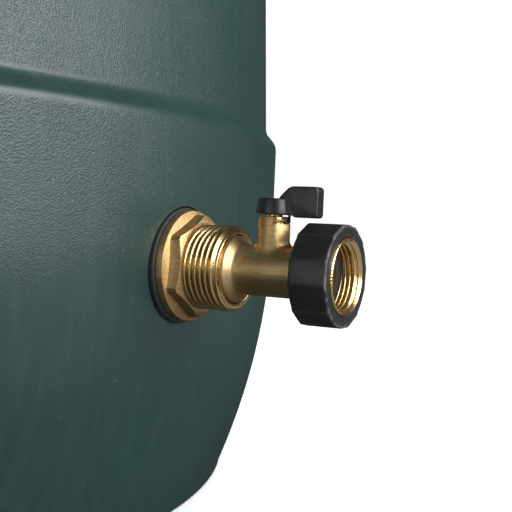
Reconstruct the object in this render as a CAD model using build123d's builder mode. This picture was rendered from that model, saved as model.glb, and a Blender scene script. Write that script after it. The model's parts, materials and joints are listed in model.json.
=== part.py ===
from build123d import *
from math import asin, cos, degrees, radians, sin, sqrt, tan
import os

# Rain barrel with a brass quarter-turn tap. Millimetres, +Z up. The origin is the centre of the base on the
# floor, and the tap points along -Y. "Reach" is a distance out from the barrel's axis along the tap, and
# "rise" is a height above the tap's own axis.

# ---------------------------------------------------------------- driving dimensions
# Barrel
body_height = 868.0
band_radius = 311.0            # widest part, the band that carries the tap
wall = 4.5
belly_height = 129.0           # where the wall turns from the curved foot to upright
belly_arc = 335.0              # radius of the curved foot, in section
step_height = 175.0            # lower edge of the step above the band
step_rise = 6.4
step_inset = 5.7
wall_taper = 2.6               # degrees, narrowing upwards from the step
push_up = 3.0                  # depth of the ring-shaped hollow under the base
foot_ring = 26.0               # width of the ring the barrel stands on
centre_foot = 90.0             # radius of the flat the middle of the base stands on
corner_fillet = 4.0
bend_fillet = 6.0
rim_overhang = 9.5
rim_depth = 30.0
mouth_lip = 17.0

# Lid and leaf basket
lid_thickness = 3.5
lid_gap = 1.3                  # between the rim's bead and the lid's skirt
skirt_depth = 26.0
crown_rise = 14.0
crown_margin = 38.0
inlet_radius = 76.0
inlet_margin = 35.984          # flat of the crown left outside the inlet
basket_gap = 1.2
basket_wall = 2.5
basket_depth = 72.0
basket_taper = 6.0
basket_flange = 12.0
wall_slots = 24
slot_width = 6.0
floor_slots = 11

# Tap: the waterway sets every diameter outwards from it
tap_height = 116.0
bore_radius = 4.5
ball_wall = 2.1
tube_wall = 2.75
collar_step = 2.7
tail_thread_wall = 3.45
bulkhead_wall = 3.4
run_gap = 0.05                 # running clearance on shafts, balls and screwed joints
body_gap = 0.4                 # between the ball and the body around it
washer_thickness = 2.9
flange_thickness = 3.1
flange_margin = 5.2
flange_cone = 0.65             # rise of the flange's face towards the hexagon
washer_margin = 1.2            # washers standing out past the nut's flange
pad_margin = 0.5               # flat pad on the wall standing out past the washers
pad_cut = 0.15                 # depth of the pad's flat below the wall at the pad's lower edge
pad_extra = 1.0                # thickness the pad adds to the wall
hole_gap = 0.4
inner_flange = 4.0             # thickness of the fitting's flange inside the barrel
hex_height = 5.8
hex_across = 36.0
hex_corner = 20.3              # radius the hexagon's corners are rounded off to
hex_chamfer = 1.3
hex_turn = 26.0                # degrees from upright towards -X to the middle of the first flat
thread_reach = 15.0            # fitting's thread showing past the nut
mouth_depth = 5.0
mouth_gap = 0.9                # room round the collar for its seal
valve_reach = 14.9             # from the fitting's mouth to the stem
stem_radius = 3.0
seal_room = 1.3                # between the stem and the bore its seal rings run in
ledge_wall = 1.5
thrust_thickness = 0.6
stem_collar = 1.5
gland_wall = 1.9
gland_grip = 3.6               # length of the gland nut inside the boss
gland_proud = 2.8
boss_rim = 1.2
boss_rise = 18.2
rim_rise = 2.7
stop_angle = 16.0              # width of the lever's stop tab
stop_gap = 1.0                 # degrees left between the tab and its stop
stop_start = 30.0              # where the tab hangs with the tap open, from straight out towards +X
turn = 90.0

# Lever
hub_gap = 0.7                  # between the boss and the lever's hub
hub_radius = 7.3
hub_height = 6.2
fin_thickness = 6.3
fin_height = 11.7
fin_reach = 18.9

# Swivel hose nut
nut_reach = 15.3               # from the stem to the grip's back face
grip_length = 15.4
grip_wall = 4.5
grip_land = 0.7
land_count = 6
land_start = 25.5              # degrees from upright towards -X to the middle of the first land
insert_inset = 1.0             # the insert's back face, ahead of the grip's
insert_proud = 0.4
insert_shoulder = 1.6          # wall of the insert that the snap ring holds back
insert_room = 2.9              # between the tube and the hollow of the insert
insert_wall = 1.95
hose_thread_gap = 2.31         # from the tube's radius out to the crests of the hose thread
snap_thickness = 1.2
snap_gap = 0.4
snap_land = 0.6                # tube left in front of the snap ring
hose_washer_thickness = 2.0
tail_flange_thickness = 1.5
edge_break = 0.4               # small chamfer on turned edges

os.makedirs("parts", exist_ok=True)


def foot_radius(height):
    """Outer radius of the curved foot at a height below the belly."""
    return band_radius - belly_arc + sqrt(belly_arc**2 - (belly_height - height) ** 2)


# ---------------------------------------------------------------- derived sizes shared by several pieces
belly_angle = degrees(asin(belly_height / belly_arc))
step_top = step_height + step_rise
shoulder_radius = band_radius - step_inset
neck_height = body_height - rim_depth
neck_radius = shoulder_radius - (neck_height - step_top) * tan(radians(wall_taper))
rim_radius = neck_radius + rim_overhang
mouth_radius = rim_radius - mouth_lip
crown_radius = mouth_radius - crown_margin
inlet_offset = crown_radius - inlet_radius - inlet_margin

ball_radius = bore_radius + ball_wall
cavity_radius = ball_radius + body_gap
tube_radius = cavity_radius + tube_wall
collar_radius = tube_radius + collar_step
tail_radius = tube_radius + tail_thread_wall
fitting_bore = tail_radius + run_gap
fitting_radius = fitting_bore + bulkhead_wall
flange_radius = fitting_radius + flange_margin
washer_radius = flange_radius + washer_margin
pad_radius = washer_radius + pad_margin
hole_radius = fitting_radius + hole_gap
mouth_bore = fitting_bore + mouth_gap

outer_seat = foot_radius(tap_height - pad_radius) - pad_cut
inner_seat = outer_seat - wall - pad_extra
washer_front = outer_seat + washer_thickness
flange_front = washer_front + flange_thickness
hex_front = flange_front + hex_height
fitting_front = hex_front + thread_reach
inner_washer_back = inner_seat - washer_thickness
fitting_back = inner_washer_back - inner_flange
stem_reach = fitting_front + valve_reach
grip_back = stem_reach + nut_reach
grip_front = grip_back + grip_length
insert_back = grip_back + insert_inset
insert_front = grip_front + insert_proud
cavity_back = insert_back + insert_shoulder
snap_back = cavity_back + snap_gap
snap_front = snap_back + snap_thickness
tube_front = snap_front + snap_land
hose_washer_back = tube_front + tail_flange_thickness
hose_washer_front = hose_washer_back + hose_washer_thickness

gland_radius = stem_radius + gland_wall
boss_radius = gland_radius + run_gap + boss_rim
gland_bore = stem_radius + seal_room
ledge_rise = cavity_radius + ledge_wall
thrust_top = ledge_rise + thrust_thickness
collar_top = thrust_top + stem_collar
gland_bottom = boss_rise - gland_grip
gland_top = boss_rise + gland_proud
rim_top = boss_rise + rim_rise
hub_bottom = rim_top + hub_gap
hub_top = hub_bottom + hub_height

cavity_open = tube_radius + insert_room
insert_radius = cavity_open + insert_wall
hose_bore = tube_radius + hose_thread_gap
grip_radius = insert_radius + grip_wall

tap_axis = Axis((0, 0, tap_height), (0, -1, 0))
stem_axis = Axis((0, -stem_reach, tap_height), (0, 0, 1))
tap_side = Plane(origin=(0, 0, tap_height), x_dir=(0, -1, 0), z_dir=(-1, 0, 0))
stem_side = Plane(origin=(0, -stem_reach, tap_height), x_dir=(0, -1, 0), z_dir=(-1, 0, 0))


def across_tap(reach):
    """Plane square to the tap at a reach, its own x pointing up."""
    return Plane(origin=(0, -reach, tap_height), x_dir=(0, 0, 1), z_dir=(0, -1, 0))


def over_tap(rise):
    """Level plane centred on the stem at a rise, its own x pointing out along the tap and y along +X."""
    return Plane(origin=(0, -stem_reach, tap_height + rise), x_dir=(0, -1, 0), z_dir=(0, 0, 1))


def save(piece, label):
    """Name a finished piece and write it out."""
    piece.part.label = label
    export_step(piece.part, f"parts/{label}.step")


# ---------------------------------------------------------------- barrel body
pad_overlap = 3.0              # the pad's thickening past its flat
with BuildPart() as barrel_body:
    with BuildSketch(Plane.XZ):
        with BuildLine():
            foot = CenterArc((band_radius - belly_arc, belly_height), belly_arc, -belly_angle, belly_angle)
            base_edge = (foot @ 0).X
            Polyline(
                (0, 0),
                (centre_foot, 0),
                (centre_foot + 2 * push_up, push_up),
                (base_edge - foot_ring - 2 * push_up, push_up),
                (base_edge - foot_ring, 0),
                foot @ 0,
            )
            fillet(vertices().sort_by_distance((base_edge, 0))[0], radius=corner_fillet)
            FilletPolyline(
                (band_radius, belly_height),
                (band_radius, step_height),
                (shoulder_radius, step_top),
                (neck_radius, neck_height),
                (rim_radius, neck_height + rim_overhang),
                (rim_radius, body_height),
                (mouth_radius, body_height),
                radius=bend_fillet,
            )
            offset(amount=wall, side=Side.LEFT)
        make_face()
    revolve(axis=Axis.Z)
    # Thickened flat pad that the tap's washers bear on
    with BuildSketch(across_tap(inner_seat)):
        Circle(pad_radius + pad_overlap)
    extrude(amount=wall)
    with BuildSketch(across_tap(outer_seat)):
        Circle(pad_radius)
    extrude(amount=band_radius - outer_seat + wall, mode=Mode.SUBTRACT)
    with BuildSketch(across_tap(inner_seat - wall)):
        Circle(hole_radius)
    extrude(amount=band_radius - inner_seat + 2 * wall, mode=Mode.SUBTRACT)
save(barrel_body, "barrel_body")

# ---------------------------------------------------------------- lid
skirt_inner = rim_radius + lid_gap
skirt_outer = skirt_inner + lid_thickness
crown_height = body_height + crown_rise
lid_fillet = 2.5
with BuildPart() as lid:
    with BuildSketch(Plane.XZ):
        with BuildLine():
            FilletPolyline(
                (0, crown_height),
                (crown_radius, crown_height),
                (crown_radius + crown_rise, body_height),
                (skirt_inner, body_height),
                (skirt_inner, body_height - skirt_depth),
                radius=lid_fillet,
            )
            offset(amount=lid_thickness, side=Side.LEFT)
        make_face()
    revolve(axis=Axis.Z)
    with BuildSketch(Plane.XY.offset(crown_height)):
        with Locations((0, inlet_offset)):
            Circle(inlet_radius)
    extrude(amount=lid_thickness * 2, both=True, mode=Mode.SUBTRACT)
save(lid, "lid")

# ---------------------------------------------------------------- leaf basket
basket_radius = inlet_radius - basket_gap
basket_seat = crown_height + lid_thickness
basket_floor = basket_seat - basket_depth
floor_radius = basket_radius - basket_taper
slot_height = 0.6 * basket_depth
with BuildPart() as leaf_basket:
    with BuildSketch(Plane.XZ):
        with BuildLine():
            Polyline(
                (0, basket_floor),
                (floor_radius, basket_floor),
                (basket_radius, basket_seat),
                (inlet_radius + basket_flange, basket_seat),
                (inlet_radius + basket_flange, basket_seat + basket_wall),
                (basket_radius - basket_wall, basket_seat + basket_wall),
                (floor_radius - basket_wall, basket_floor + basket_wall),
                (0, basket_floor + basket_wall),
                close=True,
            )
        make_face()
    revolve(axis=Axis.Z)
    with Locations((0, 0, basket_floor + basket_depth / 2)):
        with PolarLocations(basket_radius - basket_taper / 2, wall_slots):
            Box(3 * basket_taper, slot_width, slot_height, mode=Mode.SUBTRACT)
    slot_pitch = 2 * floor_radius / (floor_slots + 1)
    for row in range(floor_slots):
        across = (row - (floor_slots - 1) / 2) * slot_pitch
        length = 2 * sqrt((floor_radius - 2 * basket_wall) ** 2 - across**2)
        with Locations((across, 0, basket_floor)):
            Box(slot_width, length, 4 * basket_wall, mode=Mode.SUBTRACT)
leaf_basket.part = leaf_basket.part.moved(Location((0, inlet_offset, 0)))
save(leaf_basket, "leaf_basket")

# ---------------------------------------------------------------- bulkhead fitting through the wall
inlet_radius_inside = 2 * bore_radius
lead_length = 1.4              # lead-in chamfer on the fitting's thread
lead_depth = 1.0
with BuildPart() as bulkhead_body:
    with BuildSketch(tap_side):
        with BuildLine():
            Polyline(
                (fitting_back, inlet_radius_inside),
                (fitting_back, washer_radius),
                (inner_washer_back, washer_radius),
                (inner_washer_back, fitting_radius),
                (fitting_front - lead_length, fitting_radius),
                (fitting_front, fitting_radius - lead_depth),
                (fitting_front, mouth_bore),
                (fitting_front - mouth_depth, mouth_bore),
                (fitting_front - mouth_depth, fitting_bore),
                (outer_seat, fitting_bore),
                (outer_seat, inlet_radius_inside),
                close=True,
            )
        make_face()
    revolve(axis=tap_axis)
save(bulkhead_body, "bulkhead_body")

# ---------------------------------------------------------------- flanged back nut
flange_edge = 0.15             # small rounding on the flange's rim
with BuildPart() as back_nut:
    with BuildSketch(across_tap(flange_front)):
        RegularPolygon(hex_across / 2, 6, major_radius=False, rotation=hex_turn + 30)
    extrude(amount=hex_height)
    with BuildSketch(tap_side):
        with BuildLine():
            Polyline(
                (flange_front, 0),
                (flange_front, hex_corner),
                (hex_front - hex_chamfer, hex_corner),
                (hex_front, hex_across / 2),
                (hex_front, 0),
                close=True,
            )
        make_face()
    revolve(axis=tap_axis, mode=Mode.INTERSECT)
    with BuildSketch(tap_side):
        with BuildLine():
            Polyline(
                (washer_front, 0),
                (washer_front, flange_radius),
                (flange_front - flange_edge, flange_radius),
                (flange_front, flange_radius - flange_edge),
                (flange_front + flange_cone, hex_across / 2),
                (flange_front + flange_cone, 0),
                close=True,
            )
        make_face()
    revolve(axis=tap_axis)
    with BuildSketch(across_tap(washer_front)):
        Circle(fitting_radius + run_gap)
    extrude(amount=hex_front - washer_front, mode=Mode.SUBTRACT)
save(back_nut, "back_nut")

# ---------------------------------------------------------------- valve body
boss_blend = 2.4
boss_foot = tube_radius - 1.4  # rise at which the boss starts to spread into the tube
tail_inset = 1.0
thread_end_gap = 0.2           # between the collar's back face and the step in the fitting's mouth
snap_groove = 0.7
dome = [(-0.8, collar_step), (0.5, collar_step - 0.7), (1.6, 0.9), (2.0, 0)]
with BuildPart() as valve_body:
    with BuildSketch(tap_side):
        with BuildLine():
            Polyline(
                (outer_seat + tail_inset, 0),
                (outer_seat + tail_inset, tail_radius),
                (fitting_front - mouth_depth + thread_end_gap, tail_radius),
                (fitting_front - mouth_depth + thread_end_gap, collar_radius),
                *[(fitting_front + ahead, tube_radius + above) for ahead, above in dome],
                (tube_front, tube_radius),
                (tube_front, 0),
                close=True,
            )
        make_face()
    revolve(axis=tap_axis)
    with BuildSketch(stem_side):
        with BuildLine():
            Polyline(
                (0, 0),
                (boss_radius + boss_blend, 0),
                (boss_radius + boss_blend, boss_foot),
                (boss_radius, tube_radius + boss_blend),
                (boss_radius, rim_top),
                (0, rim_top),
                close=True,
            )
        make_face()
    revolve(axis=stem_axis)
    # Waterway, ball cavity and the threaded bore the outlet tail screws into
    with BuildSketch(tap_side):
        with BuildLine():
            Polyline(
                (outer_seat, 0),
                (outer_seat, bore_radius),
                (stem_reach - cavity_radius, bore_radius),
                (stem_reach - cavity_radius, cavity_radius),
                (tube_front, cavity_radius),
                (tube_front, 0),
                close=True,
            )
        make_face()
    revolve(axis=tap_axis, mode=Mode.SUBTRACT)
    # Groove that holds the snap ring
    with BuildSketch(tap_side):
        with Locations(((snap_back + snap_front) / 2, tube_radius)):
            Rectangle(snap_front - snap_back, 2 * snap_groove)
    revolve(axis=tap_axis, mode=Mode.SUBTRACT)
    # Stepped stem bore
    with BuildSketch(stem_side):
        with BuildLine():
            Polyline(
                (0, 0),
                (stem_radius + run_gap, 0),
                (stem_radius + run_gap, ledge_rise),
                (gland_bore, ledge_rise),
                (gland_bore, gland_bottom),
                (gland_radius + run_gap, gland_bottom),
                (gland_radius + run_gap, rim_top),
                (0, rim_top),
                close=True,
            )
        make_face()
    revolve(axis=stem_axis, mode=Mode.SUBTRACT)
    # Notch in the rim that stops the lever at both ends of its turn
    notch_first = radians(stop_start + stop_angle / 2 + stop_gap)
    notch_last = radians(stop_start - turn - stop_angle / 2 - stop_gap)
    notch_size = 3 * boss_radius
    with BuildSketch(over_tap(boss_rise)):
        with BuildLine():
            spokes = 3
            sweep = [notch_first + (notch_last - notch_first) * spoke / spokes for spoke in range(spokes + 1)]
            Polyline((0, 0), *[(notch_size * cos(a), notch_size * sin(a)) for a in sweep], close=True)
        make_face()
    extrude(amount=rim_rise, mode=Mode.SUBTRACT)
save(valve_body, "valve_body")

# ---------------------------------------------------------------- ball
tang_width = 2.2
tang_depth = 1.5
with BuildPart() as valve_ball:
    with Locations((0, -stem_reach, tap_height)):
        Sphere(ball_radius)
    with BuildSketch(across_tap(stem_reach)):
        Circle(bore_radius)
    extrude(amount=ball_radius, both=True, mode=Mode.SUBTRACT)
    with Locations((0, -stem_reach, tap_height + ball_radius)):
        Box(2 * ball_radius, tang_width + 2 * run_gap, 2 * tang_depth, mode=Mode.SUBTRACT)
save(valve_ball, "valve_ball")

# ---------------------------------------------------------------- ball seats
seat_length = 3.0
seat_lip = 0.3                 # the seats stand in past the bore
seat_inner = bore_radius - seat_lip
seat_ends = {
    "inlet_seat": (stem_reach - cavity_radius, stem_reach - cavity_radius + seat_length),
    "outlet_seat": (stem_reach + cavity_radius - seat_length, stem_reach + cavity_radius),
}
for label, (start, end) in seat_ends.items():
    with BuildPart() as seat:
        with BuildSketch(tap_side):
            with Locations(((start + end) / 2, (seat_inner + cavity_radius) / 2)):
                Rectangle(end - start, cavity_radius - seat_inner)
        revolve(axis=tap_axis)
        with Locations((0, -stem_reach, tap_height)):
            Sphere(ball_radius + run_gap, mode=Mode.SUBTRACT)
    save(seat, label)

# ---------------------------------------------------------------- stem
square = 4.2
square_length = 4.6
square_top = hub_bottom + square_length
screw_radius = 1.25
screw_length = 6.0
screw_room = 0.5
head_seat = hub_top - 1.4
ring_width = 1.3
ring_depth = 0.6
ring_places = (0.27, 0.73)     # the two seal rings, as shares of the length between collar and gland
tang_overlap = 0.2
with BuildPart() as stem:
    with BuildSketch(stem_side):
        with BuildLine():
            Polyline(
                (0, ball_radius - tang_depth),
                (stem_radius, ball_radius - tang_depth),
                (stem_radius, thrust_top),
                (gland_bore - run_gap, thrust_top),
                (gland_bore - run_gap, collar_top),
                (stem_radius, collar_top),
                (stem_radius, hub_bottom),
                (0, hub_bottom),
                close=True,
            )
        make_face()
    revolve(axis=stem_axis)
    # Tang that fits the slot in the ball
    with BuildSketch(over_tap(ball_radius + tang_overlap)):
        for side in (-1, 1):
            with Locations((side * (tang_width / 2 + stem_radius), 0)):
                Rectangle(2 * stem_radius, 4 * stem_radius)
    extrude(amount=-2 * tang_depth, mode=Mode.SUBTRACT)
    # Grooves for the two seal rings
    ring_rises = [collar_top + (gland_bottom - collar_top) * place for place in ring_places]
    with BuildSketch(stem_side):
        for rise in ring_rises:
            with Locations((stem_radius, rise)):
                Rectangle(2 * ring_depth, ring_width)
    revolve(axis=stem_axis, mode=Mode.SUBTRACT)
    with BuildSketch(over_tap(hub_bottom)):
        Rectangle(square, square)
    extrude(amount=square_top - hub_bottom)
    with BuildSketch(over_tap(square_top)):
        Circle(screw_radius)
    extrude(amount=head_seat - square_top - screw_length - screw_room, mode=Mode.SUBTRACT)
save(stem, "stem")

# ---------------------------------------------------------------- stem seal rings
with BuildPart() as stem_seals:
    with BuildSketch(stem_side):
        for rise in ring_rises:
            with Locations(((stem_radius - ring_depth + gland_bore - run_gap) / 2, rise)):
                Rectangle(gland_bore - run_gap - stem_radius + ring_depth, ring_width)
    revolve(axis=stem_axis)
save(stem_seals, "stem_seals")

# ---------------------------------------------------------------- thrust washer and gland nut
with BuildPart() as thrust_washer:
    with BuildSketch(over_tap(ledge_rise)):
        Circle(gland_bore)
        Circle(stem_radius + run_gap, mode=Mode.SUBTRACT)
    extrude(amount=thrust_top - ledge_rise - run_gap)
save(thrust_washer, "thrust_washer")

relief_rise = 0.6              # the thread relief under the gland nut's head
relief_depth = 0.5
small_chamfer = 0.3
driver_width = 1.2
driver_depth = 0.7
with BuildPart() as gland_nut:
    with BuildSketch(stem_side):
        with BuildLine():
            Polyline(
                (stem_radius + run_gap, gland_bottom),
                (gland_radius, gland_bottom),
                (gland_radius, boss_rise),
                (gland_radius - relief_depth, boss_rise),
                (gland_radius - relief_depth, boss_rise + relief_rise),
                (gland_radius, boss_rise + relief_rise),
                (gland_radius, gland_top),
                (stem_radius + run_gap, gland_top),
                close=True,
            )
        make_face()
    revolve(axis=stem_axis)
    chamfer(gland_nut.edges().group_by(Axis.Z)[-1], length=small_chamfer)
    # Driver slot across the top
    with Locations((0, -stem_reach, tap_height + gland_top)):
        Box(3 * gland_radius, driver_width, 2 * driver_depth, mode=Mode.SUBTRACT)
save(gland_nut, "gland_nut")

# ---------------------------------------------------------------- lever
hub_edge = 0.5                 # chamfer round the hub's underside
hub_shoulder = 0.8             # chamfer round its top
hub_top_radius = hub_radius - 0.9
fin_bottom = hub_bottom - 0.8
fin_top = fin_bottom + fin_height
fin_start = 2.5
fin_overlap = 1.0              # the fin's root, up inside the hub
fin_root = hub_radius + 0.2
fin_drop = hub_radius + 1.8    # where the fin's lower edge reaches its lowest
fin_corner = 1.6
fin_edge = 0.8
tab_gap = 0.35                 # between the stop tab and the gland nut
head_radius = 2.6
head_gap = 0.3
with BuildPart() as lever:
    with BuildSketch(stem_side):
        with BuildLine():
            Polyline(
                (0, hub_bottom),
                (hub_radius - hub_edge, hub_bottom),
                (hub_radius, hub_bottom + hub_edge),
                (hub_top_radius, hub_top - hub_shoulder),
                (hub_top_radius - hub_shoulder, hub_top),
                (0, hub_top),
                close=True,
            )
        make_face()
    revolve(axis=stem_axis)
    with BuildSketch(stem_side):
        with BuildLine():
            Polyline(
                (fin_start, hub_bottom + fin_overlap),
                (fin_root, hub_bottom + fin_overlap),
                (fin_drop, fin_bottom),
                (fin_reach, fin_bottom),
                (fin_reach, fin_top),
                (fin_start + fin_top - hub_top, fin_top),
                (fin_start, hub_top),
                close=True,
            )
        make_face()
        fillet(vertices().group_by(Axis.X)[-1], radius=fin_corner)
    extrude(amount=fin_thickness / 2, both=True)
    fin_sides = [lever.faces().sort_by(Axis.X)[end] for end in (0, -1)]
    fin_edges = [edge for side in fin_sides for edge in side.edges()]
    fin_rims = [edge for edge in fin_edges if edge.center().Y < -stem_reach - fin_drop]
    fillet(fin_rims, radius=fin_edge)
    # Stop tab that turns in the notch of the boss rim
    tab_inner = gland_radius + tab_gap
    tab_outer = boss_radius - run_gap
    tab_half = radians(stop_angle / 2)
    tab_middle = radians(stop_start)
    with BuildSketch(over_tap(boss_rise + body_gap)):
        with BuildLine():
            Polyline(
                (tab_inner * cos(tab_middle - tab_half), tab_inner * sin(tab_middle - tab_half)),
                (tab_outer * cos(tab_middle - tab_half), tab_outer * sin(tab_middle - tab_half)),
                (tab_outer * cos(tab_middle + tab_half), tab_outer * sin(tab_middle + tab_half)),
                (tab_inner * cos(tab_middle + tab_half), tab_inner * sin(tab_middle + tab_half)),
                close=True,
            )
        make_face()
    extrude(amount=hub_bottom - boss_rise)
    # Square socket, screw shank and screw head
    with BuildSketch(over_tap(hub_bottom)):
        Rectangle(square + 2 * run_gap, square + 2 * run_gap)
    extrude(amount=square_top - hub_bottom, mode=Mode.SUBTRACT)
    with BuildSketch(over_tap(hub_bottom)):
        Circle(screw_radius + body_gap / 2)
    extrude(amount=fin_height, mode=Mode.SUBTRACT)
    with BuildSketch(over_tap(head_seat)):
        Circle(head_radius + head_gap)
    extrude(amount=fin_height, mode=Mode.SUBTRACT)
save(lever, "lever")

# ---------------------------------------------------------------- lever screw
head_thickness = 1.2
recess_length = 3.0
recess_width = 0.7
recess_depth = 0.6
with BuildPart() as lever_screw:
    with BuildSketch(over_tap(head_seat)):
        Circle(head_radius)
    extrude(amount=head_thickness)
    chamfer(lever_screw.edges().group_by(Axis.Z)[-1], length=small_chamfer)
    with BuildSketch(over_tap(head_seat)):
        Circle(screw_radius)
    extrude(amount=-screw_length)
    for turn_angle in (0, 90):
        head_top = tap_height + head_seat + head_thickness
        with Locations(Location((0, -stem_reach, head_top), (0, 0, turn_angle))):
            Box(recess_length, recess_width, 2 * recess_depth, mode=Mode.SUBTRACT)
save(lever_screw, "lever_screw")

# ---------------------------------------------------------------- outlet tail
tail_flange = hose_bore - 0.6
spigot_radius = cavity_radius - 0.6
spigot_inset = 0.3             # the spigot stops short of the hose washer's front
with BuildPart() as outlet_tail:
    with BuildSketch(tap_side):
        with BuildLine():
            Polyline(
                (stem_reach + cavity_radius, bore_radius),
                (stem_reach + cavity_radius, cavity_radius - run_gap),
                (tube_front, cavity_radius - run_gap),
                (tube_front, tail_flange),
                (hose_washer_back, tail_flange),
                (hose_washer_back, spigot_radius),
                (hose_washer_front - spigot_inset, spigot_radius),
                (hose_washer_front - spigot_inset, bore_radius),
                close=True,
            )
        make_face()
    revolve(axis=tap_axis)
save(outlet_tail, "outlet_tail")

# ---------------------------------------------------------------- swivel nut: brass insert in a moulded grip
insert_bore = tube_radius + 2 * run_gap
grip_bore = tube_radius + 0.9
thread_lead = 1.5
with BuildPart() as swivel_insert:
    with BuildSketch(tap_side):
        with BuildLine():
            Polyline(
                (insert_back, insert_bore),
                (insert_back, insert_radius),
                (insert_front - edge_break, insert_radius),
                (insert_front, insert_radius - edge_break),
                (insert_front, hose_bore + thread_lead),
                (insert_front - thread_lead, hose_bore),
                (hose_washer_front, hose_bore),
                (hose_washer_front, cavity_open),
                (cavity_back, cavity_open),
                (cavity_back, insert_bore),
                close=True,
            )
        make_face()
    revolve(axis=tap_axis)
save(swivel_insert, "swivel_insert")

land_radius = grip_radius + grip_land
land_half = radians(90 / land_count)
grip_edge_depth = 1.0
grip_edge_length = 0.8
with BuildPart() as swivel_grip:
    with BuildSketch(across_tap(grip_back)):
        Circle(grip_radius)
        for land in range(land_count):
            middle = radians(land_start + 360 * land / land_count)
            with BuildLine():
                Polyline(
                    (0, 0),
                    (land_radius * cos(middle - land_half), land_radius * sin(middle - land_half)),
                    (land_radius * cos(middle + land_half), land_radius * sin(middle + land_half)),
                    close=True,
                )
            make_face()
    extrude(amount=grip_length)
    with BuildSketch(tap_side):
        with BuildLine():
            Polyline(
                (grip_back, 0),
                (grip_back, land_radius - grip_edge_depth),
                (grip_back + grip_edge_length, land_radius),
                (grip_front - grip_edge_length, land_radius),
                (grip_front, land_radius - grip_edge_depth),
                (grip_front, 0),
                close=True,
            )
        make_face()
    revolve(axis=tap_axis, mode=Mode.INTERSECT)
    with BuildSketch(tap_side):
        with BuildLine():
            Polyline(
                (grip_back, 0),
                (grip_back, grip_bore),
                (insert_back, grip_bore),
                (insert_back, insert_radius),
                (grip_front, insert_radius),
                (grip_front, 0),
                close=True,
            )
        make_face()
    revolve(axis=tap_axis, mode=Mode.SUBTRACT)
save(swivel_grip, "swivel_grip")

# ---------------------------------------------------------------- plain rings along the tap
washer_bore = fitting_radius + hole_gap / 2
seal_start = fitting_front - mouth_depth + 0.7
seal_width = 1.4
snap_outer = tube_radius + 1.2
hose_washer_radius = hose_bore - 0.35
ring_table = {
    "inner_washer": (inner_washer_back, inner_seat, washer_bore, washer_radius),
    "outer_washer": (outer_seat, washer_front, washer_bore, washer_radius),
    "collar_seal": (seal_start, seal_start + seal_width, collar_radius, mouth_bore),
    "snap_ring": (snap_back, snap_front, tube_radius - snap_groove, snap_outer),
    "hose_washer": (hose_washer_back, hose_washer_front, spigot_radius, hose_washer_radius),
}
for label, (start, end, inner, outer) in ring_table.items():
    with BuildPart() as ring:
        with BuildSketch(across_tap(start)):
            Circle(outer)
            Circle(inner, mode=Mode.SUBTRACT)
        extrude(amount=end - start)
    save(ring, label)
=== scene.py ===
# %% [markdown]
# # A rain barrel and its brass tap
# The CAD model is the frame: it says where every piece is and how it moves. This file dresses it. Each
# visible surface is either the CAD piece with a finish on it, or a new surface that stands in for the CAD
# piece where the real one has threads, rounded edges or moulded curves that plain solids leave out.

# %% Load the frame
import json
from math import cos, pi, radians, tan

import bmesh
import bpy
import numpy as np
from mathutils import Matrix, Vector


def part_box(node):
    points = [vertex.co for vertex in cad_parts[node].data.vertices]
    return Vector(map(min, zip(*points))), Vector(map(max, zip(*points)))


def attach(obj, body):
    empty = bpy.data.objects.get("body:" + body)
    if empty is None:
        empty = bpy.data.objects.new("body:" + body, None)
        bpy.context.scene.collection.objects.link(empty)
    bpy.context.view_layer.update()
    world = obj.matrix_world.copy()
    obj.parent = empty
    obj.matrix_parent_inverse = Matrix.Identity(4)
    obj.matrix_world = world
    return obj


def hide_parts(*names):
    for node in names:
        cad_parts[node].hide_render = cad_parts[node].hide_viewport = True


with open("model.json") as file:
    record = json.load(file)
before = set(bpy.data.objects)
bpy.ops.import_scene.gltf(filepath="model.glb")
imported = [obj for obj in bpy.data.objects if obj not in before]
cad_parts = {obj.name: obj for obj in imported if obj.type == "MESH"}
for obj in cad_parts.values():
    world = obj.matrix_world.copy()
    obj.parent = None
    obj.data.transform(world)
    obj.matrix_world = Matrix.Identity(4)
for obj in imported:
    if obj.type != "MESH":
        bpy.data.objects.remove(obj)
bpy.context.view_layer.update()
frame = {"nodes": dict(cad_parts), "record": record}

scene = bpy.context.scene
MM = 0.001

# %% [markdown]
# Sizes come from the frame. A node's box gives its lowest and highest corners, so the tap's own line is
# the middle of its round pieces, and a distance out along the tap ("reach") is minus y.

# %% Measure the frame
def span(node):
    """Lowest and highest corner of a CAD piece, as two arrays."""
    low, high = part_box(node)
    return np.array(low), np.array(high)


fitting_low, fitting_high = span("bulkhead_body")
tap_height = (fitting_low[2] + fitting_high[2]) / 2
joints = {joint["name"]: joint for joint in frame["record"]["behaviour"]["joints"]}
stem_reach = -joints["lever_turn"]["pos_m"][1]
print("tap height", round(tap_height, 4), "stem reach", round(stem_reach, 4))


# %% [markdown]
# ## Making surfaces
# Nearly every piece here is turned, moulded or threaded, so one helper makes them all: it takes a grid of
# points, joins neighbours into four-sided faces, welds the seam and the poles, and turns the faces
# outwards. A grid is easy to work out with whole-array maths and gives even, tidy faces.

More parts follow.
